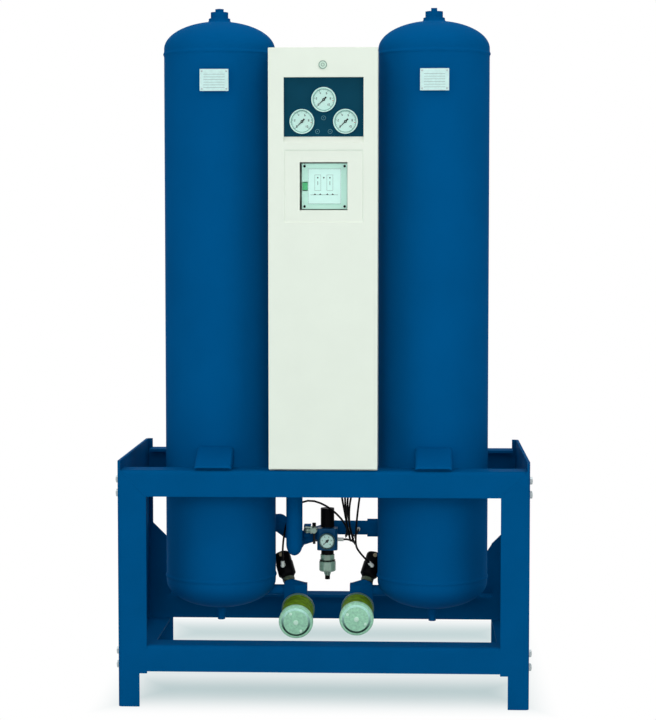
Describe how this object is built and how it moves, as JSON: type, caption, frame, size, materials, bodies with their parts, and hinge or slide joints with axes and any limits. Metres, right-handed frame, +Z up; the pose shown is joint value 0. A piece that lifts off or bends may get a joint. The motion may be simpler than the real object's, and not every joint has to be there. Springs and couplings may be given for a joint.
{
  "type": "desiccant air dryer",
  "caption": "Twin-tower desiccant compressed-air dryer: two dished steel vessels and a slim control cabinet with gauges on an open bent-plate frame, with exhaust valves and mufflers below.",
  "frame": {"origin": "on the floor under the middle of the frame", "axes": "+Z up along the vessels, +X to the right seen from the front, +Y from the cabinet's front to the rear"},
  "size_m": [1.188, 0.644, 2.003],
  "materials": {
    "frame_paint": "satin blue paint",
    "vessel_paint": "satin blue paint",
    "zinc_steel": "bright zinc",
    "cabinet_paint": "fine-textured cream paint",
    "panel_paint": "satin dark blue paint",
    "gauge_steel": "black steel case",
    "dial_white": "printed white",
    "clear_glass": "clear",
    "black_plastic": "satin black",
    "box_plastic": "pale green-grey",
    "green_plastic": "lit green",
    "regulator_paint": "satin blue paint",
    "clear_bowl": "clear polycarbonate",
    "white_media": "off-white granules",
    "white_plastic": "pale plastic",
    "brass": "turned",
    "sleeve_mesh": "olive mesh",
    "cap_aluminium": "cast",
    "black_tube": "satin black tube"
  },
  "bodies": {
    "dryer": {"front_left_post": "frame_paint", "front_right_post": "frame_paint", "rear_left_post": "frame_paint", "rear_right_post": "frame_paint", "front_top_beam": "frame_paint", "front_lower_beam": "frame_paint", "rear_top_beam": "frame_paint", "rear_lower_beam": "frame_paint", "upper_side_rails": "frame_paint", "lower_side_rails": "frame_paint", "left_vessel": "vessel_paint", "right_vessel": "vessel_paint", "vessel_brackets": "vessel_paint", "fill_plugs": "vessel_paint", "drain_plugs": "vessel_paint", "valve_bodies": "vessel_paint", "inlet_pipe": "vessel_paint", "inlet_manifold": "vessel_paint", "outlet_tee": "vessel_paint", "frame_bolts": "zinc_steel", "bed_screens": "zinc_steel", "data_plates": "zinc_steel", "pilot_valve": "zinc_steel", "cabinet_body": "cabinet_paint", "front_cover": "cabinet_paint", "gauge_panel": "panel_paint", "gauge_cases": "gauge_steel", "gauge_dials": "dial_white", "gauge_glasses": "clear_glass", "control_screws": "black_plastic", "pilot_solenoids": "black_plastic", "bowl_collar": "black_plastic", "left_actuator": "black_plastic", "right_actuator": "black_plastic", "control_box": "box_plastic", "control_cover": "box_plastic", "regulator_body": "regulator_paint", "filter_bowl": "clear_bowl", "filter_element": "white_media", "desiccant_beds": "white_media", "tube_fittings": "white_plastic", "valve_bonnets": "brass", "check_valves": "brass", "muffler_sleeves": "sleeve_mesh", "muffler_caps": "cap_aluminium", "left_valve_tube": "black_tube", "right_valve_tube": "black_tube", "regulator_tube": "black_tube", "left_gauge_tube": "black_tube", "right_gauge_tube": "black_tube"},
    "lock": {"cover_lock": "zinc_steel"},
    "top_gauge_pointer": {"top_pointer": "black_plastic"},
    "left_gauge_pointer": {"left_pointer": "black_plastic"},
    "right_gauge_pointer": {"right_pointer": "black_plastic"},
    "regulator_gauge_pointer": {"regulator_pointer": "black_plastic"},
    "spindle": {"regulator_spindle": "zinc_steel"},
    "knob": {"regulator_knob": "black_plastic"},
    "rocker": {"power_rocker": "green_plastic"},
    "drain": {"bowl_drain": "black_plastic"},
    "shut_off_knob": {"pilot_valve_knob": "black_plastic"}
  },
  "joints": [
    {"name": "lock_turn", "type": "hinge", "parent": "dryer", "child": "lock", "pos_m": [0, -0.31, 1.82], "axis": [0, 1, 0], "range_deg": [0, 90]},
    {"name": "top_gauge_swing", "type": "hinge", "parent": "dryer", "child": "top_gauge_pointer", "pos_m": [0.002, -0.3077, 1.724], "axis": [0, 1, 0], "range_deg": [0, 270], "stiffness_Nm_per_rad": 0.0002},
    {"name": "left_gauge_swing", "type": "hinge", "parent": "dryer", "child": "left_gauge_pointer", "pos_m": [-0.059, -0.3077, 1.663], "axis": [0, 1, 0], "range_deg": [0, 270], "stiffness_Nm_per_rad": 0.0002},
    {"name": "right_gauge_swing", "type": "hinge", "parent": "dryer", "child": "right_gauge_pointer", "pos_m": [0.063, -0.3077, 1.663], "axis": [0, 1, 0], "range_deg": [0, 270], "stiffness_Nm_per_rad": 0.0002},
    {"name": "regulator_gauge_swing", "type": "hinge", "parent": "dryer", "child": "regulator_gauge_pointer", "pos_m": [0, -0.0417, 0.436], "axis": [0, 1, 0], "range_deg": [0, 270], "stiffness_Nm_per_rad": 0.0002},
    {"name": "spindle_turn", "type": "hinge", "parent": "dryer", "child": "spindle", "pos_m": [0, 0, 0.5], "axis": [0, 0, 1], "range_deg": [-720, 720]},
    {"name": "knob_pull", "type": "slide", "parent": "spindle", "child": "knob", "axis": [0, 0, 1], "range_m": [0, 0.003]},
    {"name": "rocker_tilt", "type": "hinge", "parent": "dryer", "child": "rocker", "pos_m": [-0.051, -0.291, 1.482], "axis": [-1, 0, 0], "range_deg": [0, 11]},
    {"name": "drain_turn", "type": "hinge", "parent": "dryer", "child": "drain", "pos_m": [0, 0, 0.33], "axis": [0, 0, 1], "range_deg": [0, 90]},
    {"name": "shut_off_turn", "type": "hinge", "parent": "dryer", "child": "shut_off_knob", "pos_m": [-0.04, 0, 0.48], "axis": [0, 0, 1], "range_deg": [0, 90]}
  ]
}
